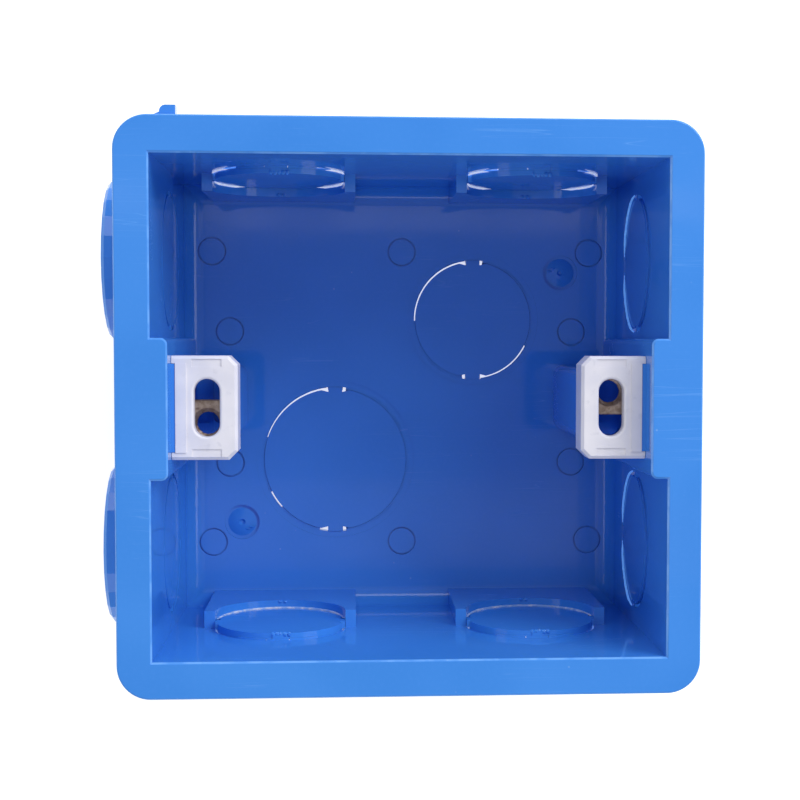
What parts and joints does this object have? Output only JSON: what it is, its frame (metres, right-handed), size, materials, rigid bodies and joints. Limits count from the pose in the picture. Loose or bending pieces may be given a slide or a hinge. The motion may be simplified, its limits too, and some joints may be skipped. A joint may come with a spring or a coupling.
{
  "type": "electrical junction box",
  "caption": "Square flush wall box of blue plastic with a flange, round knockouts in the back and walls, and two white holders with sliding screw nuts.",
  "frame": {"origin": "centre of the back's outer face, with the box lying on its back", "axes": "+Z out of the mouth, +Y the top side, +X the right side as the mouth is looked into"},
  "size_m": [0.0897, 0.0863, 0.05],
  "materials": {
    "blue_plastic": "semi-gloss moulded PVC",
    "white_plastic": "satin moulded nylon",
    "nut_steel": "dull plated steel"
  },
  "bodies": {
    "box": {"back_plate": "blue_plastic", "wall_top": "blue_plastic", "wall_bottom": "blue_plastic", "wall_left": "blue_plastic", "wall_right": "blue_plastic", "screw_tower_left": "blue_plastic", "screw_tower_right": "blue_plastic", "knockout_pad_top_left": "blue_plastic", "knockout_pad_top_right": "blue_plastic", "knockout_pad_bottom_left": "blue_plastic", "knockout_pad_bottom_right": "blue_plastic", "conduit_cup_upper": "blue_plastic", "conduit_cup_lower": "blue_plastic", "nut_holder_left": "white_plastic", "nut_holder_right": "white_plastic"},
    "screw_nut_left": {"screw_nut_left": "nut_steel"},
    "screw_nut_right": {"screw_nut_right": "nut_steel"},
    "knockout_back_large": {"knockout_back_large": "blue_plastic"},
    "knockout_back_small": {"knockout_back_small": "blue_plastic"},
    "knockout_top_left": {"knockout_top_left": "blue_plastic"},
    "knockout_top_right": {"knockout_top_right": "blue_plastic"},
    "knockout_bottom_left": {"knockout_bottom_left": "blue_plastic"},
    "knockout_bottom_right": {"knockout_bottom_right": "blue_plastic"},
    "knockout_left_upper": {"knockout_left_upper": "blue_plastic"},
    "knockout_left_lower": {"knockout_left_lower": "blue_plastic"},
    "knockout_right_upper": {"knockout_right_upper": "blue_plastic"},
    "knockout_right_lower": {"knockout_right_lower": "blue_plastic"}
  },
  "joints": [
    {"name": "screw_nut_left_slide", "type": "slide", "parent": "box", "child": "screw_nut_left", "axis": [0, 1, 0], "range_m": [0, 0.0047]},
    {"name": "screw_nut_right_slide", "type": "slide", "parent": "box", "child": "screw_nut_right", "axis": [0, 1, 0], "range_m": [-0.0047, 0]},
    {"name": "knockout_back_large_punch", "type": "slide", "parent": "box", "child": "knockout_back_large", "axis": [0, 0, 1], "range_m": [0, 0.054]},
    {"name": "knockout_back_small_punch", "type": "slide", "parent": "box", "child": "knockout_back_small", "axis": [0, 0, 1], "range_m": [0, 0.054]},
    {"name": "knockout_top_left_punch", "type": "slide", "parent": "box", "child": "knockout_top_left", "axis": [0, 1, 0], "range_m": [0, 0.01]},
    {"name": "knockout_top_right_punch", "type": "slide", "parent": "box", "child": "knockout_top_right", "axis": [0, 1, 0], "range_m": [0, 0.01]},
    {"name": "knockout_bottom_left_punch", "type": "slide", "parent": "box", "child": "knockout_bottom_left", "axis": [0, -1, 0], "range_m": [0, 0.01]},
    {"name": "knockout_bottom_right_punch", "type": "slide", "parent": "box", "child": "knockout_bottom_right", "axis": [0, -1, 0], "range_m": [0, 0.01]},
    {"name": "knockout_left_upper_punch", "type": "slide", "parent": "box", "child": "knockout_left_upper", "axis": [-1, 0, 0], "range_m": [0, 0.012]},
    {"name": "knockout_left_lower_punch", "type": "slide", "parent": "box", "child": "knockout_left_lower", "axis": [-1, 0, 0], "range_m": [0, 0.012]},
    {"name": "knockout_right_upper_punch", "type": "slide", "parent": "box", "child": "knockout_right_upper", "axis": [1, 0, 0], "range_m": [0, 0.009]},
    {"name": "knockout_right_lower_punch", "type": "slide", "parent": "box", "child": "knockout_right_lower", "axis": [1, 0, 0], "range_m": [0, 0.009]}
  ]
}
